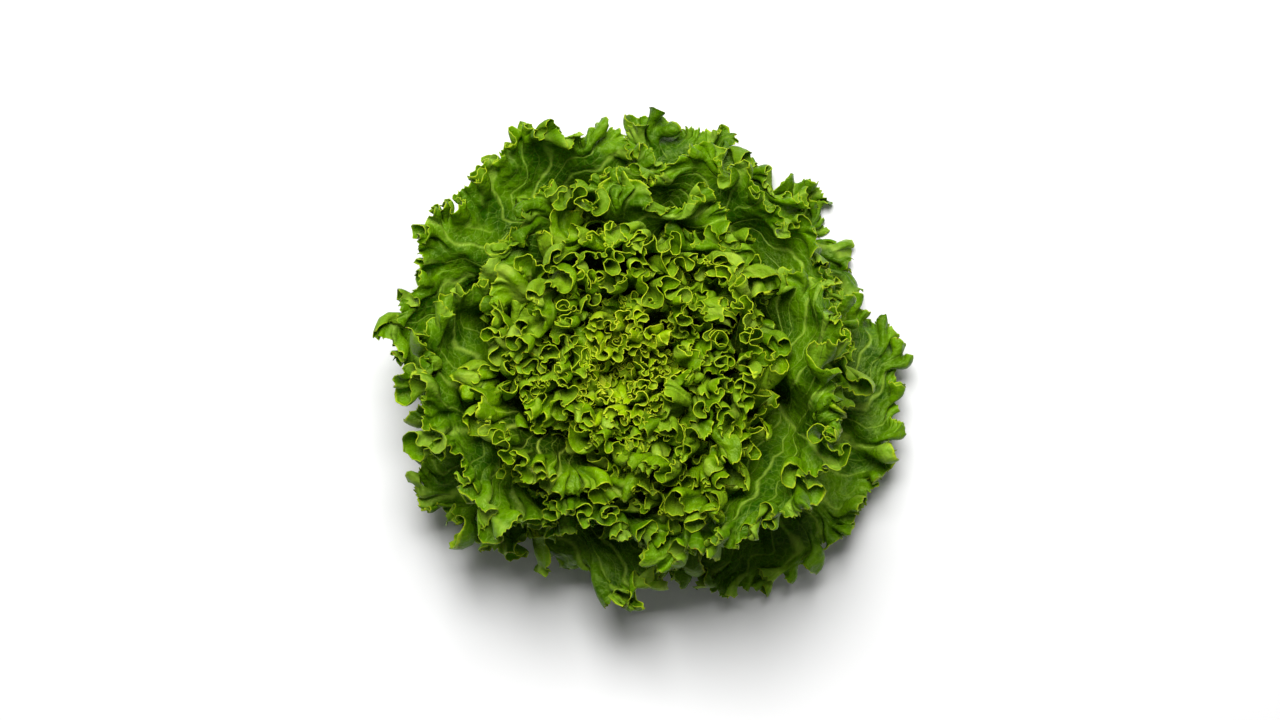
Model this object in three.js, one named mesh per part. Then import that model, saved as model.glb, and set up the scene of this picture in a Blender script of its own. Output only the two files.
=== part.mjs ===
// A head of frilly green leaf lettuce, standing on its cut stem.
// Units are millimetres and +Z is up. The origin is the centre of the stem's flat cut face.
//
// Every leaf is a thin shell on its own bowl round the stem. The bowls nest like cups, from the flat
// outermost leaf to the upright heart, so leaves pass behind each other without touching.
import * as THREE from "three";

// The whole head
const LEAF_COUNT = 46;
const OUTER_LEAVES = 14; // the spread leaves that the head rests among
const HEART_LEAVES = 14; // the small upright leaves in the middle
const LEAF_TURN = THREE.MathUtils.degToRad(137.508); // from each leaf to the next, round the stem
const FIRST_LEAF_TURN = THREE.MathUtils.degToRad(38);
const AGE_POWER = 1.2; // above 1, more of the leaves are old ones

// The stem
const STEM_RADIUS = 16;
const STEM_HEIGHT = 56;
const STEM_TAPER = 1.6;
const STEM_SIDES = 24;
const STEM_RINGS = 9;
const STEM_TIP_RADIUS = 0.9;
const CUT_CHAMFER = 1.2;
const LOWEST_LEAF = 7.5;
const LEAF_SPAN_ON_STEM = 44; // height between the lowest and the highest leaf base
const JOINT_GAP = 0.4; // between the stem and a leaf base

// Leaf sizes, from the heart to the outermost
const HEART_LENGTH = 36;
const OUTER_LENGTH = 108;
const LENGTH_VARIATION = 0.06;

// Where leaves grew longer or shorter: the direction they point in and half its width in degrees,
// and the change in length, as a share, for old outer leaves and for young ones
const GROWTH = [
  { towards: 24, halfWidth: 28, old: -0.27, young: -0.14 },
  { towards: 352, halfWidth: 16, old: 0.2, young: 0.04 },
  { towards: 48, halfWidth: 22, old: 0.12, young: -0.22 },
  { towards: 138, halfWidth: 24, old: 0.32, young: 0.08 },
  { towards: 214, halfWidth: 40, old: 0.37, young: 0.08 },
  { towards: 285, halfWidth: 18, old: -0.12, young: -0.06 },
  { towards: 324, halfWidth: 27, old: 0.37, young: 0.06 },
];
const OLD_AGE = { from: 0.55, to: 0.85 };
const BLADE_THICKNESS = { heart: 0.5, outer: 1.1 };
const BASE_THICKNESS = { heart: 0.6, outer: 1.8 };

// Angle of the leaf's midrib above the horizontal, where it leaves the stem and at its tip
const BASE_RISE = { heart: 88, outer: 8, power: 0.85 };
const TIP_RISE = { heart: 93, outer: -10, power: 5.5 };

// How far round the stem half a leaf reaches
const HALF_SPREAD = { heart: 84, middle: 68, outer: 60 };
const BASE_SHARE = { heart: 0.38, outer: 0.5 }; // share of that spread at the leaf's base
const WIDEST_AT = 0.62; // share of the leaf's length

// The waviness and lean that the whole head shares
const LEAN_X = -0.2;
const LEAN_Y = -0.24;
const CALM_RADIUS = 35; // nothing waves this close to the stem
const WAVY_RADIUS = 95;
const SETTLED_HEIGHT = 22; // leaves lower than this lie flatter
const WAVES = [
  { length: 78, depth: 4.8, phase: 1.0 },
  { length: 41, depth: 1.8, phase: 2.1 },
];

// Facets of each leaf
const COLUMNS = 14; // round the margin, an even number
const ROWS = 4; // from the midrib to the margin

const mix = (a, b, t) => a + (b - a) * t;
const smooth = (low, high, x) => THREE.MathUtils.smoothstep(x, low, high);
const rad = THREE.MathUtils.degToRad;

function stemRadius(z) {
  return Math.max(STEM_TIP_RADIUS, STEM_RADIUS * (1 - (z / STEM_HEIGHT) ** STEM_TAPER));
}

// Moves a point by the lean and the broad waves. Neighbouring points move alike, so nested leaves stay nested.
function settle(point) {
  const p = point.clone();
  for (const { length, depth, phase } of WAVES) {
    const k = (2 * Math.PI) / length;
    const strength = depth * smooth(CALM_RADIUS, WAVY_RADIUS, p.length());
    const lift = strength * smooth(0, SETTLED_HEIGHT, p.z);
    const dx = strength * Math.sin(k * (0.8 * p.y + 0.6 * p.z) + phase);
    const dy = strength * Math.sin(k * (0.8 * p.x - 0.6 * p.z) + 2 * phase);
    const dz = lift * Math.sin(k * (0.7 * p.x + 0.7 * p.y) + 3 * phase);
    p.add(new THREE.Vector3(dx, dy, dz));
  }
  return p.add(new THREE.Vector3(LEAN_X * p.z, LEAN_Y * p.z, 0));
}

// How much longer than usual a leaf is, as a share, because of where it points.
function growth(turn, age) {
  const old = smooth(OLD_AGE.from, OLD_AGE.to, age);
  return GROWTH.reduce((sum, spurt) => {
    const off = THREE.MathUtils.euclideanModulo(THREE.MathUtils.radToDeg(turn) - spurt.towards + 180, 360) - 180;
    const near = 1 - smooth(0, 1.5 * spurt.halfWidth, Math.abs(off));
    return sum + mix(spurt.young, spurt.old, old) * near;
  }, 0);
}

// The facts of one leaf. age runs from 1, the outermost leaf, to 0 in the heart.
function leafPlan(index) {
  const age = 1 - (index / (LEAF_COUNT - 1)) ** AGE_POWER;
  const turn = FIRST_LEAF_TURN + index * LEAF_TURN;
  const height = LOWEST_LEAF + LEAF_SPAN_ON_STEM * (1 - age) ** 0.85;
  const baseRise = rad(mix(BASE_RISE.heart, BASE_RISE.outer, age ** BASE_RISE.power));
  const tipRise = rad(mix(TIP_RISE.heart, TIP_RISE.outer, age ** TIP_RISE.power));
  const baseThickness = mix(BASE_THICKNESS.heart, BASE_THICKNESS.outer, age);
  const usualLength = mix(HEART_LENGTH, OUTER_LENGTH, 1 - (1 - age) ** 2.2);
  const variation = 1 + LENGTH_VARIATION * Math.sin(2.4 * index + 1) + growth(turn, age);
  const spread =
    age < 0.5
      ? mix(HALF_SPREAD.heart, HALF_SPREAD.middle, smooth(0, 0.5, age))
      : mix(HALF_SPREAD.middle, HALF_SPREAD.outer, smooth(0.5, 1, age));
  return {
    turn,
    length: usualLength * variation,
    halfSpread: rad(spread),
    baseShare: mix(BASE_SHARE.heart, BASE_SHARE.outer, age),
    baseRise,
    bend: (tipRise - baseRise) / usualLength,
    startRadius: stemRadius(height) + JOINT_GAP + 0.5 * baseThickness * Math.sin(baseRise),
    startHeight: height,
    baseThickness,
    bladeThickness: mix(BLADE_THICKNESS.heart, BLADE_THICKNESS.outer, age),
  };
}

// The leaf's outline: how far round and how far along its margin is, for t from -1 through the tip at 0 to 1.
function margin(leaf, t) {
  const side = Math.sign(t);
  const along = Math.abs(t);
  if (along < 0.5) {
    const turn = along * Math.PI;
    return {
      round: side * leaf.halfSpread * Math.sin(turn),
      far: leaf.length * (WIDEST_AT + (1 - WIDEST_AT) * Math.cos(turn)),
    };
  }
  const down = 2 * along - 1;
  return {
    round: side * leaf.halfSpread * mix(1, leaf.baseShare, smooth(0, 1, down)),
    far: leaf.length * WIDEST_AT * (1 - down),
  };
}

// A point of the leaf's middle surface: r is 0 on the midrib and 1 on the margin.
function leafPoint(leaf, t, r) {
  const edge = margin(leaf, t);
  const rib = leaf.length * 0.66 * (1 - Math.abs(t)) ** 0.9;
  const round = edge.round * r;
  const far = mix(rib, edge.far, r);
  // the midrib is an arc of a circle in the plane through the stem
  const rise = leaf.baseRise + leaf.bend * far;
  const radius = leaf.startRadius + (Math.sin(rise) - Math.sin(leaf.baseRise)) / leaf.bend;
  const height = leaf.startHeight - (Math.cos(rise) - Math.cos(leaf.baseRise)) / leaf.bend;
  const angle = leaf.turn + round;
  return settle(new THREE.Vector3(radius * Math.cos(angle), radius * Math.sin(angle), height));
}

// The middle surface as a fan of rows and columns. On the midrib, both halves share their vertices.
function leafSheet(leaf) {
  const points = [];
  const share = []; // of the way from the base, for the thickness
  const grid = [];
  for (let row = 0; row <= ROWS; row++) {
    grid.push([]);
    for (let column = 0; column <= COLUMNS; column++) {
      if (row === 0 && column > COLUMNS / 2) {
        grid[0].push(grid[0][COLUMNS - column]);
        continue;
      }
      const t = (2 * column) / COLUMNS - 1;
      const r = (row / ROWS) ** 0.85;
      grid[row].push(points.length);
      points.push(leafPoint(leaf, t, r));
      share.push(mix(1 - Math.abs(t), 1, r * smooth(1, 0.6, Math.abs(t))));
    }
  }
  const faces = [];
  for (let row = 0; row < ROWS; row++) {
    for (let column = 0; column < COLUMNS; column++) {
      const a = grid[row][column];
      const b = grid[row][column + 1];
      const c = grid[row + 1][column + 1];
      const d = grid[row + 1][column];
      faces.push([a, b, c], [a, c, d]);
    }
  }
  const left = grid.map((row) => row[0]);
  const right = grid.map((row) => row[COLUMNS]);
  const rim = [...left, ...grid[ROWS].slice(1, -1), ...right.reverse().slice(0, -1)];
  return { points, share, faces, rim };
}

function sheetNormals(points, faces) {
  const normals = points.map(() => new THREE.Vector3());
  for (const [a, b, c] of faces) {
    const ab = points[b].clone().sub(points[a]);
    const ac = points[c].clone().sub(points[a]);
    const normal = ab.cross(ac);
    for (const corner of [a, b, c]) normals[corner].add(normal);
  }
  return normals.map((n) => n.normalize());
}

// The leaf as a closed shell: its middle surface moved half its thickness each way, and joined at the rim.
function leafGeometry(leaf) {
  const { points, share, faces, rim } = leafSheet(leaf);
  const normals = sheetNormals(points, faces);
  const count = points.length;
  const corners = [];
  for (const side of [0.5, -0.5]) {
    points.forEach((point, i) => {
      const thickness = mix(leaf.baseThickness, leaf.bladeThickness, smooth(0, 0.45, share[i]));
      corners.push(point.clone().addScaledVector(normals[i], side * thickness));
    });
  }
  const index = [];
  for (const [a, b, c] of faces) index.push(a, b, c, a + count, c + count, b + count);
  rim.forEach((a, i) => {
    const b = rim[(i + 1) % rim.length];
    index.push(a, b, b + count, a, b + count, a + count);
  });
  const geometry = new THREE.BufferGeometry().setFromPoints(corners);
  geometry.setIndex(index);
  return geometry;
}

function stemGeometry() {
  const profile = [new THREE.Vector2(0, 0), new THREE.Vector2(STEM_RADIUS - CUT_CHAMFER, 0)];
  for (let ring = 0; ring <= STEM_RINGS; ring++) {
    const z = mix(CUT_CHAMFER, STEM_HEIGHT - 1, ring / STEM_RINGS);
    profile.push(new THREE.Vector2(stemRadius(z), z));
  }
  profile.push(new THREE.Vector2(0, STEM_HEIGHT));
  const geometry = new THREE.LatheGeometry(profile, STEM_SIDES);
  geometry.rotateX(Math.PI / 2);
  const place = geometry.getAttribute("position");
  for (let i = 0; i < place.count; i++) {
    const moved = settle(new THREE.Vector3().fromBufferAttribute(place, i));
    place.setXYZ(i, moved.x, moved.y, moved.z);
  }
  return geometry;
}

const matt = (color, roughness) =>
  new THREE.MeshStandardMaterial({ color, roughness, metalness: 0, side: THREE.DoubleSide });
const outerLeaf = matt(0x46741a, 0.42);
const middleLeaf = matt(0x5c8c1c, 0.4);
const heartLeaf = matt(0x8fb52c, 0.45);
const stem = matt(0xd9dfb4, 0.55);

function leafName(index) {
  const number = (n) => String(n + 1).padStart(2, "0");
  if (index < OUTER_LEAVES) return ["outer_leaf_" + number(index), outerLeaf];
  const firstHeart = LEAF_COUNT - HEART_LEAVES;
  if (index < firstHeart) return ["middle_leaf_" + number(index - OUTER_LEAVES), middleLeaf];
  return ["heart_leaf_" + number(index - firstHeart), heartLeaf];
}

const head = new THREE.Group();
const stemMesh = new THREE.Mesh(stemGeometry(), stem);
stemMesh.name = "stem";
head.add(stemMesh);
for (let index = 0; index < LEAF_COUNT; index++) {
  const [name, material] = leafName(index);
  const mesh = new THREE.Mesh(leafGeometry(leafPlan(index)), material);
  mesh.name = name;
  head.add(mesh);
}

export default head;
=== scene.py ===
"""A head of frilly green leaf lettuce, standing on its cut stem.

Each leaf starts as a smooth sheet on the same bowl as its node in the frame. A Geometry Nodes tree then
rolls its margin, folds it into ruffles and frills, draws the margin out into teeth and gives the sheet its
thickness. The stem starts as a smooth, tapered skin, and a second tree roughens it and adds the stubs of
leaves that were pulled off.
"""

import math

import bpy
import numpy as np
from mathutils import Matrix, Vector


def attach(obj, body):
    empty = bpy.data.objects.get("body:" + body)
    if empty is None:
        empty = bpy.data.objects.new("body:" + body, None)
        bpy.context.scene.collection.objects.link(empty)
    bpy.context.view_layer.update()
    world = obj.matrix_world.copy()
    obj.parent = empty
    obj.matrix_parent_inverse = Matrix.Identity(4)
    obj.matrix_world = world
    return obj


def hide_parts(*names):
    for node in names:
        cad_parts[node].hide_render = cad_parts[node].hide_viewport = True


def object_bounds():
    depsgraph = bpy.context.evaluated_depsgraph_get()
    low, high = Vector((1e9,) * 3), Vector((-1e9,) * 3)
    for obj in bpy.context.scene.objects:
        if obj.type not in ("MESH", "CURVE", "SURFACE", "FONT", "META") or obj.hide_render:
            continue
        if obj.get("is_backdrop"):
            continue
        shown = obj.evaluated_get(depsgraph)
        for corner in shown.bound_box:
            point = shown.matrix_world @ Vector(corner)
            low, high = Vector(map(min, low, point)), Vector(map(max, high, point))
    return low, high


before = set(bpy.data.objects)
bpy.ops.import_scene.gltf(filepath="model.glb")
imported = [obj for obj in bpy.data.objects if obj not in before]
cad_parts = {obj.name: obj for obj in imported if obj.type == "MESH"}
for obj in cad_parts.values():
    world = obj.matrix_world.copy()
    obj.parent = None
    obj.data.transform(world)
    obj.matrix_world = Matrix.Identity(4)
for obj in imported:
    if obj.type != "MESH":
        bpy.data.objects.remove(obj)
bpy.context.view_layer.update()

MM = 0.001

# The head, as the frame has it
LEAF_COUNT = 46
OUTER_LEAVES = 14
HEART_LEAVES = 14
LEAF_TURN = math.radians(137.508)
FIRST_LEAF_TURN = math.radians(38)
AGE_POWER = 1.2
STEM_RADIUS = 16 * MM
STEM_HEIGHT = 56 * MM
STEM_TAPER = 1.6
STEM_TIP_RADIUS = 0.9 * MM
LOWEST_LEAF = 7.5 * MM
LEAF_SPAN_ON_STEM = 44 * MM
LEAF_HEIGHT_POWER = 0.85
JOINT_GAP = 0.4 * MM
HEART_LENGTH = 36 * MM
OUTER_LENGTH = 108 * MM
LENGTH_POWER = 2.2
LENGTH_VARIATION = 0.06
# Where the leaves grew longer or shorter: the direction and half the width in degrees, and the share that
# old and young leaves gained
GROWTH = [
    {"towards": 24, "half_width": 28, "old": -0.27, "young": -0.14},
    {"towards": 352, "half_width": 16, "old": 0.2, "young": 0.04},
    {"towards": 48, "half_width": 22, "old": 0.12, "young": -0.22},
    {"towards": 138, "half_width": 24, "old": 0.32, "young": 0.08},
    {"towards": 214, "half_width": 40, "old": 0.37, "young": 0.08},
    {"towards": 285, "half_width": 18, "old": -0.12, "young": -0.06},
    {"towards": 324, "half_width": 27, "old": 0.37, "young": 0.06},
]
YOUNG_TO_OLD = (0.55, 0.85)  # the ages between which growth turns from the young share to the old
BASE_RISE = {"heart": 88, "outer": 8, "power": 0.85}
TIP_RISE = {"heart": 93, "outer": -10, "power": 5.5}
HALF_SPREAD = {"heart": 84, "middle": 68, "outer": 60}
BASE_SHARE = {"heart": 0.38, "outer": 0.5}
WIDEST_AT = 0.62
RIB_LENGTH = 0.66
RIB_POWER = 0.9
BASE_THICKNESS = {"heart": 0.6 * MM, "outer": 1.8 * MM}
LEAN_X = -0.2
LEAN_Y = -0.24
# Waves and creases are nothing inside the calm radius and full outside the wavy one
CALM_RADIUS = 35 * MM
WAVY_RADIUS = 95 * MM
CREASE_CALM_RADIUS = CALM_RADIUS * 0.6
CREASE_WAVY_RADIUS = WAVY_RADIUS * 0.8
SETTLED_HEIGHT = 22 * MM
WAVES = [
    {"length": 78 * MM, "depth": 4.8 * MM, "phase": 1.0},
    {"length": 41 * MM, "depth": 1.8 * MM, "phase": 2.1},
]

# How finely a leaf is meshed
MARGIN_STEP = {"heart": 0.29 * MM, "outer": 0.4 * MM}
ROW_COUNT = {"heart": 15, "outer": 21}
COARSEST_AGE = 0.7  # leaves older than this are meshed as the outer ones are
ROW_POWER = 1.9  # rows crowd towards the margin
DOUBLINGS = 3  # times that the columns double between the midrib and the margin
DOUBLING_PACE = 1.25  # the larger, the sooner the columns are at their finest on the way out
MARGIN_SAMPLES = 1601
STEM_COLUMNS = 120
CUT_RINGS = 12
SIDE_RINGS = 60
CUT_EDGE = 0.6 * MM

# Between which shares of the way up its margin a leaf turns from stalk to blade, and between which shares
# of its length, from its base, it comes free of its neighbours and frills
BLADE_SHARES = (0.08, 0.38)
FREE_SHARES = (0.14, 0.42)
SPREAD_LEAF = 8  # the leaf that shows its face, since the ones over it are short

# The stubs round the stem: a ring of lumps, each a little higher than the last
STUB_RING = 15.1 * MM
STUB_SIZE = (2.2 * MM, 5.4 * MM, 1.5 * MM)
FIRST_STUB_TURN = 1.0
FIRST_STUB_HEIGHT = 2.2 * MM
STUB_RISE = 0.45 * MM
STEM_SHAPE = {"Stubs": 9.0, "Roughness": 0.5 * MM}

FLOOR_HALF_SIDE = 3.0
AIM_HEIGHT = 0.05
CAMERA_RISE = math.radians(87)
CAMERA_LENS = 85
CAMERA_DISTANCE = 1.73
CAMERA_SHIFT = (-0.004, -0.002, 0)
SURROUNDING_LIGHT = 0.075

# Creases that pressed leaves share: the push's direction in degrees, how the crease tilts, and its size
SHARED_CREASES = [
    {"push": 20, "tilt": 0.5, "length": 46 * MM, "depth": 3.4 * MM, "phase": 0.4},
    {"push": 112, "tilt": -0.4, "length": 39 * MM, "depth": 3.0 * MM, "phase": 2.2},
    {"push": 68, "tilt": 0.3, "length": 25 * MM, "depth": 1.9 * MM, "phase": 4.0},
    {"push": 155, "tilt": 0.6, "length": 21 * MM, "depth": 1.6 * MM, "phase": 1.3},
]


def mix(a, b, t):
    return a + (b - a) * t


def smooth(low, high, x):
    t = np.clip((x - low) / (high - low), 0, 1)
    return t * t * (3 - 2 * t)


def unit(vectors):
    return vectors / np.maximum(np.linalg.norm(vectors, axis=-1, keepdims=True), 1e-12)


# --- The sheet that a leaf starts from ------------------------------------------------------------


def stem_radius(z):
    return max(STEM_TIP_RADIUS, STEM_RADIUS * (1 - (z / STEM_HEIGHT) ** STEM_TAPER))


def settle(points):
    """Moves points by the head's broad waves and its lean."""
    p = points.copy()
    for wave in WAVES:
        k = 2 * math.pi / wave["length"]
        strength = wave["depth"] * smooth(CALM_RADIUS, WAVY_RADIUS, np.linalg.norm(p, axis=-1))
        lift = strength * smooth(0, SETTLED_HEIGHT, p[..., 2])
        x, y, z = p[..., 0], p[..., 1], p[..., 2]
        push = [
            strength * np.sin(k * (0.8 * y + 0.6 * z) + wave["phase"]),
            strength * np.sin(k * (0.8 * x - 0.6 * z) + 2 * wave["phase"]),
            lift * np.sin(k * (0.7 * x + 0.7 * y) + 3 * wave["phase"]),
        ]
        p = p + np.stack(push, axis=-1)
    z = p[..., 2]
    return p + np.stack([LEAN_X * z, LEAN_Y * z, 0 * z], axis=-1)


def crease(points):
    """Pushes points sideways in waves that run across the push, so nested leaves stay nested."""
    p = points.copy()
    for wave in SHARED_CREASES:
        turn = math.radians(wave["push"])
        push = np.array([math.cos(turn), math.sin(turn), 0])
        across = np.array([-math.sin(turn), math.cos(turn), wave["tilt"]])
        out = np.linalg.norm(p, axis=-1)
        strength = wave["depth"] * smooth(CREASE_CALM_RADIUS, CREASE_WAVY_RADIUS, out)
        phase = 2 * math.pi / wave["length"] * (p @ across) + wave["phase"]
        p = p + push * (strength * np.sin(phase))[..., None]
    return p


def growth(turn, age):
    """How much longer than usual a leaf is, as a share, from where it points."""
    extra = 0
    for spurt in GROWTH:
        off = (math.degrees(turn) - spurt["towards"] + 180) % 360 - 180
        amount = mix(spurt["young"], spurt["old"], smooth(*YOUNG_TO_OLD, age))
        extra += amount * smooth(spurt["half_width"] * 1.5, 0, abs(off))
    return extra


def leaf_plan(index):
    """The sizes of one leaf. Age runs from 1 for the outermost to 0 for the heart."""
    age = 1 - (index / (LEAF_COUNT - 1)) ** AGE_POWER
    turn = FIRST_LEAF_TURN + index * LEAF_TURN
    height = LOWEST_LEAF + LEAF_SPAN_ON_STEM * (1 - age) ** LEAF_HEIGHT_POWER
    base_rise = math.radians(mix(BASE_RISE["heart"], BASE_RISE["outer"], age ** BASE_RISE["power"]))
    tip_rise = math.radians(mix(TIP_RISE["heart"], TIP_RISE["outer"], age ** TIP_RISE["power"]))
    base_thickness = mix(BASE_THICKNESS["heart"], BASE_THICKNESS["outer"], age)
    usual_length = mix(HEART_LENGTH, OUTER_LENGTH, 1 - (1 - age) ** LENGTH_POWER)
    if age < 0.5:
        spread = mix(HALF_SPREAD["heart"], HALF_SPREAD["middle"], smooth(0, 0.5, age))
    else:
        spread = mix(HALF_SPREAD["middle"], HALF_SPREAD["outer"], smooth(0.5, 1, age))
    own_share = LENGTH_VARIATION * math.sin(2.4 * index + 1)
    return {
        "index": index,
        "age": age,
        "turn": turn,
        "length": usual_length * (1 + own_share + growth(turn, age)),
        "half_spread": math.radians(spread),
        "base_share": mix(BASE_SHARE["heart"], BASE_SHARE["outer"], age),
        "base_rise": base_rise,
        "bend": (tip_rise - base_rise) / usual_length,
        "start_radius": stem_radius(height) + JOINT_GAP + 0.5 * base_thickness * math.sin(base_rise),
        "start_height": height,
    }


def margin(leaf, t):
    """How far round the stem and how far along the leaf its margin is. t runs from -1 to 1 over the tip."""
    along = np.abs(t)
    turn = np.minimum(along, 0.5) * math.pi
    down = np.maximum(2 * along - 1, 0)
    narrow = mix(1, leaf["base_share"], smooth(0, 1, down))
    around = np.sign(t) * leaf["half_spread"] * np.where(along < 0.5, np.sin(turn), narrow)
    tip = WIDEST_AT + (1 - WIDEST_AT) * np.cos(turn)
    far = leaf["length"] * np.where(along < 0.5, tip, WIDEST_AT * (1 - down))
    return around, far


def leaf_points(leaf, t, r):
    """Points of the leaf's middle surface, from the midrib at r 0 to the margin at r 1."""
    edge_around, edge_far = margin(leaf, t)
    rib = leaf["length"] * RIB_LENGTH * (1 - np.abs(t)) ** RIB_POWER
    around = leaf["turn"] + edge_around * r
    far = mix(rib, edge_far, r)
    rise = leaf["base_rise"] + leaf["bend"] * far
    radius = leaf["start_radius"] + (np.sin(rise) - math.sin(leaf["base_rise"])) / leaf["bend"]
    height = leaf["start_height"] - (np.cos(rise) - math.cos(leaf["base_rise"])) / leaf["bend"]
    return crease(settle(np.stack([radius * np.cos(around), radius * np.sin(around), height], axis=-1)))


def margin_run(leaf):
    """Closely spaced t values over the margin, and how far along it each of them is."""
    t = np.linspace(-1, 1, MARGIN_SAMPLES)
    p = leaf_points(leaf, t, np.ones_like(t))
    return t, np.concatenate([[0], np.cumsum(np.linalg.norm(np.diff(p, axis=0), axis=1))])


def sheet_faces(strides, start, columns):
    """Faces between rows of points. Row j has one column in strides[j], and begins at point start[j]."""
    faces = []
    for j in range(len(strides) - 1):
        last = columns // strides[j]
        for c in range(last):
            a, b = c, c + 1
            if j == 0:  # the two halves of the leaf meet in the midrib, so they share its points
                a, b = min(a, last - a), min(b, last - b)
            a, b = start[j] + a, start[j] + b
            if strides[j] == strides[j + 1]:
                d = start[j + 1] + c
                faces.append((a, d, d + 1, b))
            else:
                d = start[j + 1] + 2 * c
                faces += [(a, d, d + 1), (a, d + 1, b), (b, d + 1, d + 2)]
    return faces


def leaf_sheet(leaf, name):
    """The leaf's sheet as a mesh, with what the frilling needs to know stored at each point."""
    coarseness = smooth(0, COARSEST_AGE, leaf["age"])
    step = mix(MARGIN_STEP["heart"], MARGIN_STEP["outer"], coarseness)
    rows = round(mix(ROW_COUNT["heart"], ROW_COUNT["outer"], coarseness))
    sample_t, run = margin_run(leaf)
    length = run[-1]
    finest = 2 ** DOUBLINGS
    columns = 2 * finest * round(length / step / finest / 2)
    t = np.interp(np.linspace(0, length, columns + 1), run, sample_t)
    r = 1 - (1 - np.arange(rows + 1) / rows) ** ROW_POWER
    grid_t, grid_r = np.meshgrid(t, r)
    points = leaf_points(leaf, grid_t, grid_r)
    outward = unit(np.gradient(points, axis=0))
    outward[:, [0, -1]] = unit(outward[:, [1, -2]])
    steps = np.linalg.norm(np.diff(points, axis=0), axis=-1)
    inward = np.concatenate([np.cumsum(steps[::-1], axis=0)[::-1], np.zeros((1, columns + 1))])
    along = np.broadcast_to((np.arange(columns + 1) / columns - 0.5) * length, inward.shape)
    blade = smooth(*BLADE_SHARES, 1 - np.abs(grid_t))
    base = points[-1, [0, -1]].mean(axis=0)
    free = blade * smooth(*FREE_SHARES, np.linalg.norm(points - base, axis=-1) / leaf["length"])

    # columns halve three times on the way in to the midrib
    doubled = [int((DOUBLINGS + 1) * j / rows * DOUBLING_PACE) for j in range(rows + 1)]
    strides = [finest // 2 ** min(DOUBLINGS, times) for times in doubled]
    start = np.cumsum([0] + [columns // s + 1 for s in strides])
    picked = [(j, slice(None, None, s)) for j, s in enumerate(strides)]

    def gather(values):
        return np.concatenate([values[j, pick] for j, pick in picked])

    faces = sheet_faces(strides, start, columns)
    used = np.zeros(start[-1], bool)
    for face in faces:
        used[list(face)] = True
    number = np.cumsum(used) - 1
    faces = [tuple(int(number[v]) for v in face) for face in faces]
    mesh = bpy.data.meshes.new(name)
    mesh.from_pydata(gather(points)[used].tolist(), [], faces)
    attributes = {
        "along": along, "inward": inward, "blade": blade, "free": free,
        "outward": outward, "across_leaf": grid_t, "to_margin": grid_r,
    }
    for key, values in attributes.items():
        store(mesh, key, gather(values)[used])
    return mesh


def stem_skin(name):
    """The stem as closed rings, from the middle of its cut face, round the cut's edge and up to its tip."""
    flat = STEM_RADIUS - CUT_EDGE
    cut = [(flat * i / CUT_RINGS, 0.0) for i in range(1, CUT_RINGS + 1)]
    corner = [(STEM_RADIUS - CUT_EDGE * (1 - math.sin(a)), CUT_EDGE * (1 - math.cos(a))) for a in (0.5, 1.0)]
    side = [(stem_radius(z), z) for z in np.linspace(CUT_EDGE, STEM_HEIGHT, SIDE_RINGS)]
    rings = cut + corner + side
    turns = 2 * math.pi * np.arange(STEM_COLUMNS) / STEM_COLUMNS
    points = [(0, 0, 0)]
    points += [(r * math.cos(turn), r * math.sin(turn), z) for r, z in rings for turn in turns]
    points.append((0, 0, STEM_HEIGHT + STEM_TIP_RADIUS))
    faces = []
    for c in range(STEM_COLUMNS):
        a, b = 1 + c, 1 + (c + 1) % STEM_COLUMNS
        faces.append((0, b, a))
        for _ in rings[1:]:
            faces.append((a, b, b + STEM_COLUMNS, a + STEM_COLUMNS))
            a, b = a + STEM_COLUMNS, b + STEM_COLUMNS
        faces.append((len(points) - 1, a, b))
    mesh = bpy.data.meshes.new(name)
    mesh.from_pydata(settle(np.array(points, float)).tolist(), [], faces)
    return mesh


def store(mesh, name, values):
    kind = "FLOAT_VECTOR" if values.ndim == 2 else "FLOAT"
    field = "vector" if values.ndim == 2 else "value"
    attribute = mesh.attributes.new(name, kind, "POINT")
    attribute.data.foreach_set(field, values.astype(np.float32).ravel())


# --- Formulas in node trees -----------------------------------------------------------------------


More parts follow.
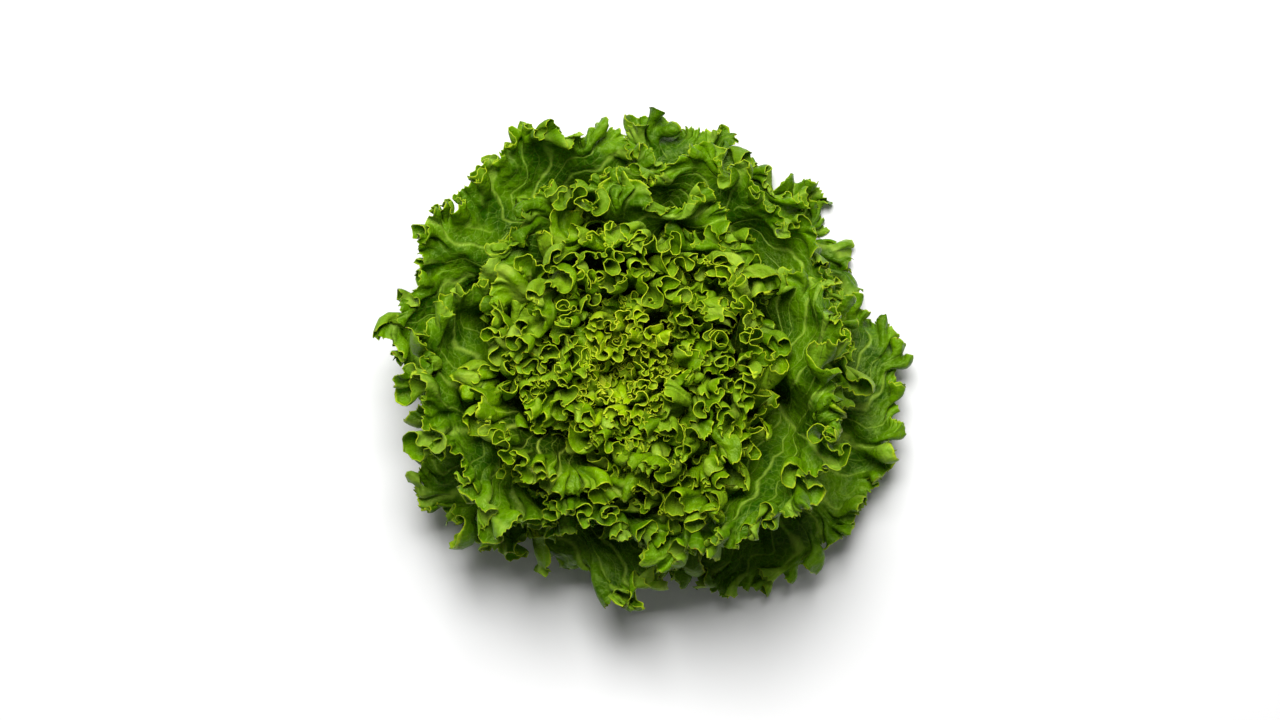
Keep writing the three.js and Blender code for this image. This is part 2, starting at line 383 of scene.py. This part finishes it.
class Field:
    """A node's output that can stand in a formula: the operators add the maths nodes."""

    def __init__(self, tree, socket):
        self.tree = tree
        self.socket = socket
        self.is_vector = socket.type == "VECTOR"

    def do(self, operation, *others):
        terms = (self, *others)
        vector = any(isinstance(x, Field) and x.is_vector for x in terms)
        node = self.tree.nodes.new("ShaderNodeVectorMath" if vector else "ShaderNodeMath")
        node.operation = operation
        for socket, value in zip(node.inputs, terms):
            connect(self.tree, value, socket)
        return Field(self.tree, node.outputs["Value" if operation == "LENGTH" else 0])

    def times(self, factor):
        """This vector, scaled by a number."""
        node = self.tree.nodes.new("ShaderNodeVectorMath")
        node.operation = "SCALE"
        connect(self.tree, self, node.inputs[0])
        connect(self.tree, factor, node.inputs["Scale"])
        return Field(self.tree, node.outputs[0])

    def __add__(self, other):
        return self.do("ADD", other)

    def __sub__(self, other):
        return self.do("SUBTRACT", other)

    def __mul__(self, other):
        return self.do("MULTIPLY", other)

    def __truediv__(self, other):
        return self.do("DIVIDE", other)

    def __pow__(self, other):
        return self.do("POWER", other)

    def sine(self):
        return self.do("SINE")

    def inverse(self):
        """One divided by this number."""
        node = self.tree.nodes.new("ShaderNodeMath")
        node.operation = "DIVIDE"
        node.inputs[0].default_value = 1.0
        connect(self.tree, self, node.inputs[1])
        return Field(self.tree, node.outputs[0])

    def ramp(self, low, high):
        """0 below low, 1 above high and smooth in between. Low may be the larger."""
        node = self.tree.nodes.new("ShaderNodeMapRange")
        node.interpolation_type = "SMOOTHSTEP"
        connect(self.tree, self, node.inputs["Value"])
        connect(self.tree, low, node.inputs["From Min"])
        connect(self.tree, high, node.inputs["From Max"])
        return Field(self.tree, node.outputs["Result"])

    def wander(self):
        """Smooth noise from about -1 to 1 along this number."""
        node = self.tree.nodes.new("ShaderNodeTexNoise")
        node.noise_dimensions = "1D"
        connect(self.tree, self, node.inputs["W"])
        node.inputs["Scale"].default_value = 1
        node.inputs["Detail"].default_value = 1
        return (Field(self.tree, node.outputs[0]) - 0.5) * 3.2


def connect(tree, value, socket):
    if isinstance(value, Field):
        tree.links.new(value.socket, socket)
    else:
        socket.default_value = value


def add(tree, kind, inputs=None, output=0, **settings):
    """Adds a node with its settings and inputs, and gives the output as a Field."""
    node = tree.nodes.new(kind)
    for key, value in settings.items():
        setattr(node, key, value)
    for key, value in (inputs or {}).items():
        connect(tree, value, node.inputs[key])
    return Field(tree, node.outputs[output])


def new_tree(name, inputs):
    """A Geometry Nodes tree with named number inputs, and its inputs as Fields."""
    tree = bpy.data.node_groups.new(name, "GeometryNodeTree")
    tree.interface.new_socket("Geometry", in_out="OUTPUT", socket_type="NodeSocketGeometry")
    tree.interface.new_socket("Geometry", in_out="INPUT", socket_type="NodeSocketGeometry")
    for key, default in inputs.items():
        kind = "NodeSocketMaterial" if default is None else "NodeSocketFloat"
        socket = tree.interface.new_socket(key, in_out="INPUT", socket_type=kind)
        if default is not None:
            socket.default_value = default
    source = tree.nodes.new("NodeGroupInput")
    return tree, {o.name: Field(tree, o) for o in source.outputs if o.name}


def end_tree(tree, geometry):
    sink = tree.nodes.new("NodeGroupOutput")
    connect(tree, geometry, sink.inputs["Geometry"])


def noise(tree, place, scale, detail=2.0):
    return add(tree, "ShaderNodeTexNoise", {"Vector": place, "Scale": scale, "Detail": detail})


def stored(tree, name, kind="FLOAT"):
    node = tree.nodes.new("GeometryNodeInputNamedAttribute")
    node.data_type = kind
    node.inputs["Name"].default_value = name
    return Field(tree, node.outputs["Attribute"])


def moved(tree, geometry, offset):
    return add(tree, "GeometryNodeSetPosition", {"Geometry": geometry, "Offset": offset})


def kept_above(tree, geometry, floor):
    """Lifts the points that are lower than floor up to it."""
    parts = tree.nodes.new("ShaderNodeSeparateXYZ")
    connect(tree, add(tree, "GeometryNodeInputPosition"), parts.inputs[0])
    lift = (Field(tree, parts.outputs["Z"]) * -1.0 + floor).do("MAXIMUM", 0.0)
    return moved(tree, geometry, add(tree, "ShaderNodeCombineXYZ", {"Z": lift}))


def finished(tree, geometry, material):
    """The geometry, shaded smooth, with its instances made real and its material set."""
    smoothed = add(tree, "GeometryNodeSetShadeSmooth", {"Geometry": geometry, "Shade Smooth": True})
    real = add(tree, "GeometryNodeRealizeInstances", {"Geometry": smoothed})
    return add(tree, "GeometryNodeSetMaterial", {"Geometry": real, "Material": material})


# --- What the frilling does, one tree each --------------------------------------------------------


def leaf_directions(tree):
    """The way through the leaf, the way out to its margin, and the way along it, all at right angles."""
    normal = add(tree, "GeometryNodeBlurAttribute", {
        "Value": add(tree, "GeometryNodeInputNormal"), "Iterations": 8,
    }, data_type="FLOAT_VECTOR")
    outward = stored(tree, "outward", "FLOAT_VECTOR")
    sideways = normal.do("CROSS_PRODUCT", outward).do("NORMALIZE")
    through = outward.do("CROSS_PRODUCT", sideways).do("NORMALIZE")
    return through, outward, sideways


def ruffle_tree():
    """Folds the blade from side to side, more and more towards the margin, in loops that lean over.

    The drift, the swell and the lobes read the same noise far apart, so they don't keep step.
    """
    tree, given = new_tree("Ruffle", {
        "Wavelength": 18 * MM, "Depth": 5 * MM, "Curl": 0.16, "Reach": 24 * MM, "Steepness": 1.5,
        "Unevenness": 1.0, "Lobes": 1.5 * MM, "Seed": 0.0,
    })
    through, outward, sideways = leaf_directions(tree)
    along = stored(tree, "along") / given["Wavelength"]
    grow = (stored(tree, "inward").ramp(given["Reach"], 0) ** given["Steepness"]) * stored(tree, "free")
    seed = given["Seed"] * 7.31
    drift = (along * 0.37 + seed).wander() * given["Unevenness"] * 2.2
    swell = (along * 0.55 + seed + 41.7).wander() * given["Unevenness"] * 0.45 + 1.0
    phase = along * (2 * math.pi) + drift + seed
    depth = given["Depth"] * grow * swell
    bulge = given["Wavelength"] * given["Curl"] * grow
    lobes = given["Lobes"] * grow * (along * 0.8 + seed + 87.1).wander()
    offset = through.times(depth * phase.sine())
    offset = offset - sideways.times(bulge * (phase * 2).sine())
    offset = offset + outward.times(lobes)
    end_tree(tree, moved(tree, given["Geometry"], offset))
    return tree


def roll_tree():
    """Rolls stretches of the margin over towards the underside, or up towards the face."""
    tree, given = new_tree("Roll", {"Turn": 1.2, "Reach": 20 * MM, "Stretch": 50 * MM, "Seed": 0.0})
    through, outward, _ = leaf_directions(tree)
    place = stored(tree, "along") / given["Stretch"] + given["Seed"] * 3.17
    turn = (place.wander() - 0.2) * given["Turn"] * stored(tree, "free")
    past_fold = (given["Reach"] - stored(tree, "inward")).do("MAXIMUM", 0.0)
    radius = given["Reach"] / turn
    turned = past_fold / radius
    half_sine = (turned * 0.5).sine()
    offset = through.times(radius * half_sine * half_sine * 2)
    offset = offset + outward.times(radius * turned.sine() - past_fold)
    rolled = moved(tree, given["Geometry"], offset)
    now_outward = outward.times(turned.do("COSINE")) + through.times(turned.sine())
    end_tree(tree, add(tree, "GeometryNodeStoreNamedAttribute", {
        "Geometry": rolled, "Name": "outward", "Value": now_outward,
    }, data_type="FLOAT_VECTOR", domain="POINT"))
    return tree


def blister_tree():
    """Raises soft blisters on the blade, between its veins."""
    tree, given = new_tree("Blisters", {"Width": 9 * MM, "Height": 1.2 * MM, "Seed": 0.0})
    place = add(tree, "GeometryNodeInputPosition") + given["Seed"]
    bumps = noise(tree, place, given["Width"].inverse(), 1.0)
    height = (bumps - 0.5) * 2 * given["Height"] * stored(tree, "free")
    end_tree(tree, moved(tree, given["Geometry"], add(tree, "GeometryNodeInputNormal").times(height)))
    return tree


def teeth_tree():
    """Draws the margin out into small pointed teeth of uneven size."""
    tree, given = new_tree("Teeth", {"Spacing": 2.8 * MM, "Depth": 2 * MM, "Reach": 3 * MM, "Seed": 0.0})
    outward = stored(tree, "outward", "FLOAT_VECTOR")
    place = stored(tree, "along") / given["Spacing"]
    place = place + (place * 0.4 + given["Seed"] * 5.3).wander() * 0.8
    tooth = place.do("PINGPONG", 0.5) * 2
    size = (place * 0.3 + given["Seed"] * 2.9).wander() * 0.6 + 1.0
    near = stored(tree, "inward").ramp(given["Reach"], 0) * stored(tree, "free")
    offset = outward.times((tooth ** 1.6 - 0.4) * size * given["Depth"] * near)
    end_tree(tree, moved(tree, given["Geometry"], offset))
    return tree


def solid_tree():
    """Keeps the leaf off the floor and turns the sheet into a closed leaf, thick at its base and midrib."""
    tree, given = new_tree("Leaf flesh", {"Blade": 0.45 * MM, "Base": 2.0 * MM, "Floor": 1.1 * MM})
    sheet = kept_above(tree, given["Geometry"], given["Floor"])
    base = stored(tree, "blade").ramp(1.0, 0.0)
    tip = stored(tree, "across_leaf").do("ABSOLUTE")
    rib = stored(tree, "to_margin").ramp(0.14, 0.0) * tip.ramp(0.0, 0.5) * 0.7
    thick = given["Blade"] + (given["Base"] - given["Blade"]) * base.do("MAXIMUM", rib)
    normal = add(tree, "GeometryNodeInputNormal")
    face = moved(tree, sheet, normal.times(thick * 0.5))
    turned = add(tree, "GeometryNodeFlipFaces", {"Mesh": face})
    extruded = tree.nodes.new("GeometryNodeExtrudeMesh")
    connect(tree, turned, extruded.inputs["Mesh"])
    connect(tree, thick, extruded.inputs["Offset Scale"])
    extruded.inputs["Individual"].default_value = False
    back = add(tree, "GeometryNodeStoreNamedAttribute", {
        "Geometry": Field(tree, extruded.outputs["Mesh"]), "Name": "underside",
        "Value": Field(tree, extruded.outputs["Top"]),
    }, data_type="FLOAT", domain="FACE")
    joined = tree.nodes.new("GeometryNodeJoinGeometry")
    for part in (face, back):
        connect(tree, part, joined.inputs[0])
    whole = Field(tree, joined.outputs[0])
    end_tree(tree, add(tree, "GeometryNodeMergeByDistance", {"Geometry": whole, "Distance": 0.0001 * MM}))
    return tree


def use(tree, group, inputs):
    """Adds a node that runs another tree."""
    node = tree.nodes.new("GeometryNodeGroup")
    node.node_tree = group
    for key, value in inputs.items():
        connect(tree, value, node.inputs[key])
    return Field(tree, node.outputs["Geometry"])


def leaf_tree():
    """The whole leaf: rolled, folded, ruffled, frilled, toothed, and made solid."""
    tree, given = new_tree("Lettuce leaf", {
        "Scale": 1.0, "Band": 1.0, "Roll": 1.0, "Ruffle": 1.0, "Seed": 0.0, "Material": None,
    })
    scale, seed = given["Scale"], given["Seed"]
    band = scale * given["Band"]
    ruffle = ruffle_tree()
    leaf = use(tree, roll_tree(), {
        "Geometry": given["Geometry"], "Turn": given["Roll"], "Reach": scale * (26 * MM),
        "Stretch": scale * (48 * MM), "Seed": seed,
    })
    leaf = use(tree, blister_tree(), {
        "Geometry": leaf, "Width": scale * (13 * MM), "Height": scale * (2.4 * MM), "Seed": seed,
    })
    leaf = use(tree, ruffle, {
        "Geometry": leaf, "Wavelength": scale * (36 * MM), "Depth": scale * given["Ruffle"] * (9 * MM),
        "Curl": 0.08, "Reach": band * (80 * MM), "Steepness": 1.4, "Lobes": scale * (2.5 * MM),
        "Seed": seed + 0.3,
    })
    leaf = use(tree, ruffle, {
        "Geometry": leaf, "Wavelength": scale * (15 * MM), "Depth": scale * given["Ruffle"] * (7.5 * MM),
        "Curl": 0.18, "Reach": band * (46 * MM), "Steepness": 1.3, "Lobes": scale * (3 * MM),
        "Unevenness": 1.5, "Seed": seed + 1.7,
    })
    leaf = use(tree, ruffle, {
        "Geometry": leaf, "Wavelength": scale * (6.5 * MM), "Depth": scale * (2.4 * MM),
        "Curl": 0.14, "Reach": scale * (14 * MM), "Steepness": 1.2, "Lobes": scale * (1.8 * MM),
        "Seed": seed + 3.1,
    })
    leaf = use(tree, teeth_tree(), {
        "Geometry": leaf, "Spacing": scale * (0.8 * MM) + 0.8 * MM, "Depth": scale * (1.4 * MM) + 1.2 * MM,
        "Reach": scale * (1.6 * MM) + 1.2 * MM, "Seed": seed,
    })
    leaf = use(tree, solid_tree(), {"Geometry": leaf})
    end_tree(tree, finished(tree, leaf, given["Material"]))
    return tree


def stem_tree():
    """Roughens and flutes the stem, and rings it with the stubs of leaves that were pulled off."""
    tree, given = new_tree("Cut stem", {**STEM_SHAPE, "Material": None})
    number = add(tree, "GeometryNodeInputIndex")
    turn = number * LEAF_TURN + FIRST_STUB_TURN
    spot = add(tree, "ShaderNodeCombineXYZ", {
        "X": turn.do("COSINE") * STUB_RING, "Y": turn.sine() * STUB_RING,
        "Z": number * STUB_RISE + FIRST_STUB_HEIGHT,
    })
    spots = add(tree, "GeometryNodePoints", {"Count": given["Stubs"], "Position": spot})
    stub = add(tree, "GeometryNodeMeshUVSphere", {"Segments": 28, "Rings": 14, "Radius": 1.0})
    stub = add(tree, "GeometryNodeTransform", {"Geometry": stub, "Scale": STUB_SIZE})
    stub = add(tree, "GeometryNodeStoreNamedAttribute", {
        "Geometry": stub, "Name": "stub", "Value": 1.0,
    }, data_type="FLOAT", domain="POINT")
    stubs = add(tree, "GeometryNodeInstanceOnPoints", {
        "Points": spots, "Instance": stub, "Rotation": add(tree, "ShaderNodeCombineXYZ", {"Z": turn}),
    })
    joined = tree.nodes.new("GeometryNodeJoinGeometry")
    for part in (given["Geometry"], add(tree, "GeometryNodeRealizeInstances", {"Geometry": stubs})):
        connect(tree, part, joined.inputs[0])
    place = add(tree, "GeometryNodeInputPosition")
    flutes = noise(tree, place * (1.0, 1.0, 0.2), 260.0, 3.0)
    dents = noise(tree, place, 420.0, 3.0)
    height = (flutes + dents - 1.15) * given["Roughness"]
    offset = add(tree, "GeometryNodeInputNormal").times(height)
    rough = moved(tree, Field(tree, joined.outputs[0]), offset)
    end_tree(tree, finished(tree, kept_above(tree, rough, 0.0), given["Material"]))
    return tree


# --- Materials ------------------------------------------------------------------------------------


def rgb(r, g, b):
    """A colour as it is seen, 0 to 255, turned linear."""
    return tuple((x / 255) ** 2.2 for x in (r, g, b)) + (1.0,)


def attribute(tree, name):
    return add(tree, "ShaderNodeAttribute", output="Fac", attribute_name=name)


def blend(tree, a, b, share):
    """Colour a where share is 0 and b where it is 1."""
    node = tree.nodes.new("ShaderNodeMix")
    node.data_type = "RGBA"
    connect(tree, share, node.inputs["Factor"])
    for socket, value in ((node.inputs[6], a), (node.inputs[7], b)):
        connect(tree, value, socket)
    return Field(tree, node.outputs[2])


def vein_lines(tree, along_rib, out, count, start, width, place):
    """Lines that leave the midrib count times on each side, from start of the way out, and waver."""
    waver = (noise(tree, place, 60.0) - 0.5) * 0.5
    line = (along_rib * count + waver + count * 0.31).do("PINGPONG", 0.5)
    shown = out.ramp(start, start + 0.12)
    return line.ramp(width, 0.0) * shown


def new_material(name):
    """An empty material, its node tree, and its Object coordinates."""
    material = bpy.data.materials.new(name)
    material.use_nodes = True
    material.node_tree.nodes.clear()
    return material, material.node_tree, add(material.node_tree, "ShaderNodeTexCoord", output="Object")


def end_material(tree, colour, roughness, relief, relief_depth, constants):
    """Ends a material in one Principled shader, with a bump from relief and settings that hold all over."""
    shader = tree.nodes.new("ShaderNodeBsdfPrincipled")
    connect(tree, colour, shader.inputs["Base Color"])
    connect(tree, roughness, shader.inputs["Roughness"])
    for key, value in constants.items():
        shader.inputs[key].default_value = value
    bump = tree.nodes.new("ShaderNodeBump")
    bump.inputs["Strength"].default_value = BUMP_STRENGTH
    bump.inputs["Distance"].default_value = relief_depth
    connect(tree, relief, bump.inputs["Height"])
    tree.links.new(bump.outputs[0], shader.inputs["Normal"])
    output = tree.nodes.new("ShaderNodeOutputMaterial")
    tree.links.new(shader.outputs[0], output.inputs[0])


BUMP_STRENGTH = 0.8
LEAF_CONSTANTS = {
    "Subsurface Weight": 0.12,
    "Subsurface Radius": (0.5, 1.0, 0.06),
    "Subsurface Scale": 1.8 * MM,
    "Specular IOR Level": 0.28,
    "Specular Tint": (0.78, 1.0, 0.3, 1.0),
}
STEM_CONSTANTS = {
    "Subsurface Weight": 0.1,
    "Subsurface Radius": (0.8, 0.8, 0.4),
    "Subsurface Scale": 1.5 * MM,
    "Specular IOR Level": 0.3,
}
# Painted shade: the dark green that blades turn to deeper in from the margin, standing in for the shadow in
# the gaps between the frills
PAINTED_SHADE_GREEN = rgb(16, 34, 0)
LEAF_WEAR = rgb(104, 66, 20)
# Per group of leaves: the margin colour is partly the paler edge tissue and partly a painted highlight on
# the thin edge, and the shade settings are how strong the painted shade is and how far in from the margin it
# is full
LEAF_COLOURS = {
    "outer_leaf": {
        "deep": rgb(38, 72, 0), "bright": rgb(98, 140, 2), "margin_and_highlight_colour": rgb(166, 188, 36),
        "vein_colour": rgb(164, 196, 70), "under": rgb(104, 138, 24),
        "wear": 0.8, "painted_shade": 0.15, "painted_shade_depth": 40 * MM,
    },
    "middle_leaf": {
        "deep": rgb(50, 86, 0), "bright": rgb(116, 156, 2), "margin_and_highlight_colour": rgb(182, 202, 40),
        "vein_colour": rgb(170, 194, 68), "under": rgb(120, 152, 28),
        "wear": 0.7, "painted_shade": 0.85, "painted_shade_depth": 24 * MM,
    },
    "heart_leaf": {
        "deep": rgb(88, 126, 0), "bright": rgb(150, 180, 8), "margin_and_highlight_colour": rgb(204, 216, 50),
        "vein_colour": rgb(180, 202, 68), "under": rgb(140, 168, 32),
        "wear": 0.2, "painted_shade": 0.85, "painted_shade_depth": 12 * MM,
    },
}
STEM_COLOURS = {
    "flesh": rgb(226, 218, 172), "ring": rgb(164, 162, 88), "pith": rgb(190, 150, 88),
    "browned_cut": rgb(150, 104, 38), "pale_side": rgb(208, 210, 152), "green_side": rgb(142, 172, 76),
    "browned_side": rgb(142, 88, 36), "stub": rgb(118, 72, 30),
}


def leaf_veins(tree, place, across, out):
    """Pale veins: the midrib, three orders of side veins, and the fine net between them."""
    veins = vein_lines(tree, across, out, 9.0, -0.2, 0.10, place)
    veins = veins.do("MAXIMUM", vein_lines(tree, across, out, 18.0, 0.3, 0.08, place) * 0.7)
    veins = veins.do("MAXIMUM", vein_lines(tree, across, out, 36.0, 0.55, 0.08, place) * 0.4)
    net = add(tree, "ShaderNodeTexVoronoi", {"Vector": place, "Scale": 210.0}, feature="DISTANCE_TO_EDGE")
    veins = veins.do("MAXIMUM", net.ramp(0.08, 0.0) * 0.25)
    return veins.do("MAXIMUM", out.ramp(0.05, 0.0))


def leaf_material(name, deep, bright, margin_and_highlight_colour, vein_colour, under, wear, painted_shade, painted_shade_depth):
    """Leaf tissue: veined, blistered and mottled, with a lime margin that is partly painted highlight, a
    paler, duller underside, and painted shade deeper in from the margin.
    """
    material, tree, place = new_material(name)
    out, inward, underside = (attribute(tree, key) for key in ("to_margin", "inward", "underside"))
    veins = leaf_veins(tree, place, attribute(tree, "across_leaf"), out)
    mottle = noise(tree, place, 48.0, 3.0).ramp(0.36, 0.66)
    fine_mottle = noise(tree, place, 230.0, 2.0).ramp(0.35, 0.7)
    frilled = inward.ramp(20 * MM, 2 * MM)
    brightness = mottle * 0.5 + fine_mottle * 0.2 + frilled * 0.3
    colour = blend(tree, deep, bright, brightness)
    # Painted shade: darkens the blade deeper in from its margin, for the shadow between the frills
    colour = blend(tree, colour, PAINTED_SHADE_GREEN, inward.ramp(painted_shade_depth * 0.35, painted_shade_depth) * painted_shade)
    colour = blend(tree, colour, under, underside * 0.6)
    colour = blend(tree, colour, vein_colour, veins * 0.45)
    colour = blend(tree, colour, vein_colour, attribute(tree, "blade").ramp(0.7, 0.0) * 0.85)
    # The lime margin: partly the paler tissue of the thin edge, partly a painted highlight where light
    # catches and shines through it
    rim_width = noise(tree, place, 150.0).ramp(0.3, 0.7) * (0.6 * MM) + 0.4 * MM
    margin_and_highlight = inward.ramp(rim_width, 0.05 * MM) * (noise(tree, place, 90.0).ramp(0.3, 0.65) * 0.55 + 0.4)
    colour = blend(tree, colour, margin_and_highlight_colour, margin_and_highlight)
    specks = noise(tree, place, 420.0, 1.0).ramp(0.66, 0.72) * inward.ramp(3 * MM, 0.5 * MM)
    worn = noise(tree, place, 26.0, 1.0).ramp(0.55, 0.62)
    colour = blend(tree, colour, LEAF_WEAR, specks * worn * wear)
    dull = noise(tree, place, 240.0, 2.0) * 0.2 + underside * 0.16 + 0.27
    blisters = add(tree, "ShaderNodeTexVoronoi", {"Vector": place, "Scale": 150.0}, feature="SMOOTH_F1")
    wrinkles = noise(tree, place, 190.0, 5.0) * 3.2
    relief = (veins * -0.6 + blisters * -0.8 + wrinkles) * (underside * -2.0 + 1.0)
    end_material(tree, colour, dull, relief, 0.8 * MM, LEAF_CONSTANTS)
    return material


def stem_material():
    """Stem flesh: a ringed cut face that has browned, a pale side with green streaks, and browned stubs."""
    material, tree, place = new_material("cut_stem_flesh")
    parts = tree.nodes.new("ShaderNodeSeparateXYZ")
    connect(tree, place, parts.inputs[0])
    height = Field(tree, parts.outputs["Z"])
    out = (place * (1.0, 1.0, 0.0)).do("LENGTH") / STEM_RADIUS
    patches = noise(tree, place, 130.0, 4.0)
    streaks = noise(tree, place * (1.0, 1.0, 0.12), 520.0, 3.0)
    ring = out.ramp(0.5, 0.68) * out.ramp(0.88, 0.74)
    browned = patches.ramp(0.42, 0.66) * 0.6 + out.ramp(0.72, 0.98) * 0.35
    cut = blend(tree, STEM_COLOURS["flesh"], STEM_COLOURS["ring"], ring)
    cut = blend(tree, cut, STEM_COLOURS["browned_cut"], browned)
    cut = blend(tree, cut, STEM_COLOURS["pith"], out.ramp(0.2, 0.05) * 0.6)
    green = height.ramp(1 * MM, 12 * MM) * 0.5 + streaks * 0.5
    browned = height.ramp(2.4 * MM, 0.4 * MM) * patches.ramp(0.3, 0.6) * 0.8
    side = blend(tree, STEM_COLOURS["pale_side"], STEM_COLOURS["green_side"], green)
    side = blend(tree, side, STEM_COLOURS["browned_side"], browned)
    stub = attribute(tree, "stub") * patches.ramp(0.3, 0.55) * 0.85
    side = blend(tree, side, STEM_COLOURS["stub"], stub)
    colour = blend(tree, side, cut, height.ramp(0.7 * MM, 0.35 * MM))
    relief = streaks * 0.7 + noise(tree, place, 700.0, 3.0) * 0.6
    end_material(tree, colour, streaks * 0.3 + 0.35, relief, 0.4 * MM, STEM_CONSTANTS)
    return material


def plain_material(name, colour, roughness):
    material = bpy.data.materials.new(name)
    material.use_nodes = True
    shader = material.node_tree.nodes["Principled BSDF"]
    shader.inputs["Base Color"].default_value = colour
    shader.inputs["Roughness"].default_value = roughness
    return material


# --- The pieces -----------------------------------------------------------------------------------


def group_of(index):
    """The node name and material slot of a leaf."""
    if index < OUTER_LEAVES:
        return f"outer_leaf_{index + 1:02d}", "outer_leaf"
    if index < LEAF_COUNT - HEART_LEAVES:
        return f"middle_leaf_{index - OUTER_LEAVES + 1:02d}", "middle_leaf"
    return f"heart_leaf_{index - (LEAF_COUNT - HEART_LEAVES) + 1:02d}", "heart_leaf"


def made_plain(shaped, name):
    """The evaluated object as a plain mesh object with no modifiers."""
    graph = bpy.context.evaluated_depsgraph_get()
    mesh = bpy.data.meshes.new_from_object(
        shaped.evaluated_get(graph), preserve_all_data_layers=True, depsgraph=graph)
    mesh.name = name
    bpy.data.objects.remove(shaped)
    piece = bpy.data.objects.new(name, mesh)
    bpy.context.scene.collection.objects.link(piece)
    return piece


def make_piece(mesh, tree, settings, name, node):
    """Runs a Geometry Nodes tree on a mesh and places the result as a piece."""
    shaped = bpy.data.objects.new(name + "_start", mesh)
    bpy.context.scene.collection.objects.link(shaped)
    modifier = shaped.modifiers.new("Shape", "NODES")
    modifier.node_group = tree
    for key, value in settings.items():
        modifier[tree.interface.items_tree[key].identifier] = value
    piece = made_plain(shaped, name)
    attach(piece, "root")
    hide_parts(node)


def make_leaf(index, tree, materials):
    """One frilled leaf. Older leaves have larger frills in a narrower band, and no two roll alike."""
    leaf = leaf_plan(index)
    node, slot = group_of(index)
    spread_out = index == SPREAD_LEAF
    settings = {
        "Scale": mix(0.38, 0.68, smooth(0.1, 0.9, leaf["age"])) * (1 + 0.13 * math.sin(5.1 * index)),
        "Band": 0.4 if spread_out else mix(1.0, 0.5, smooth(0.6, 0.88, leaf["age"])),
        "Roll": 0.6 if spread_out else 1.3 + 0.8 * math.sin(1.9 * index),
        "Ruffle": 0.65 if spread_out else 1.0,
        "Seed": float(index),
        "Material": materials[slot],
    }
    make_piece(leaf_sheet(leaf, node + "_sheet"), tree, settings, "frilled_" + node, node)


def make_stem():
    settings = {**STEM_SHAPE, "Material": stem_material()}
    make_piece(stem_skin("stem_skin"), stem_tree(), settings, "cut_stem", "stem")


def make_floor():
    mesh = bpy.data.meshes.new("floor")
    half = FLOOR_HALF_SIDE
    corners = [(-half, -half, 0), (half, -half, 0), (half, half, 0), (-half, half, 0)]
    mesh.from_pydata(corners, [], [(0, 1, 2, 3)])
    floor = bpy.data.objects.new("floor", mesh)
    bpy.context.scene.collection.objects.link(floor)
    mesh.materials.append(plain_material("pale_floor", (0.86, 0.86, 0.86, 1), 0.8))
    floor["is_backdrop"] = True


def make_camera():
    low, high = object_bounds()
    back = Vector((0, -math.cos(CAMERA_RISE), math.sin(CAMERA_RISE)))
    camera = bpy.data.objects.new("camera", bpy.data.cameras.new("camera"))
    camera.data.lens = CAMERA_LENS
    target = (low + high) / 2 + Vector(CAMERA_SHIFT)
    target.z = AIM_HEIGHT
    camera.location = target + back * CAMERA_DISTANCE
    camera.rotation_euler = (-back).to_track_quat("-Z", "Y").to_euler()
    bpy.context.scene.collection.objects.link(camera)
    bpy.context.scene.camera = camera


def make_light(name, place, size, power):
    light = bpy.data.objects.new(name, bpy.data.lights.new(name, "AREA"))
    light.data.size = size
    light.data.energy = power
    light.location = place
    towards = Vector((0, 0, AIM_HEIGHT)) - Vector(place)
    light.rotation_euler = towards.to_track_quat("-Z", "Y").to_euler()
    bpy.context.scene.collection.objects.link(light)


def make_lights():
    make_light("key", place=(-0.1, 0.8, 1.55), size=1.0, power=51)
    make_light("fill", place=(0.7, -0.5, 1.5), size=1.2, power=1.2)
    world = bpy.data.worlds.new("studio")
    world.use_nodes = True
    background = world.node_tree.nodes["Background"]
    background.inputs["Color"].default_value = (1, 1, 1, 1)
    background.inputs["Strength"].default_value = SURROUNDING_LIGHT
    bpy.context.scene.world = world
    bpy.context.scene.view_settings.view_transform = "Standard"


materials = {slot: leaf_material(slot + "_tissue", **colours) for slot, colours in LEAF_COLOURS.items()}
tree = leaf_tree()
for index in range(LEAF_COUNT):
    make_leaf(index, tree, materials)
make_stem()
make_floor()
make_lights()
make_camera()
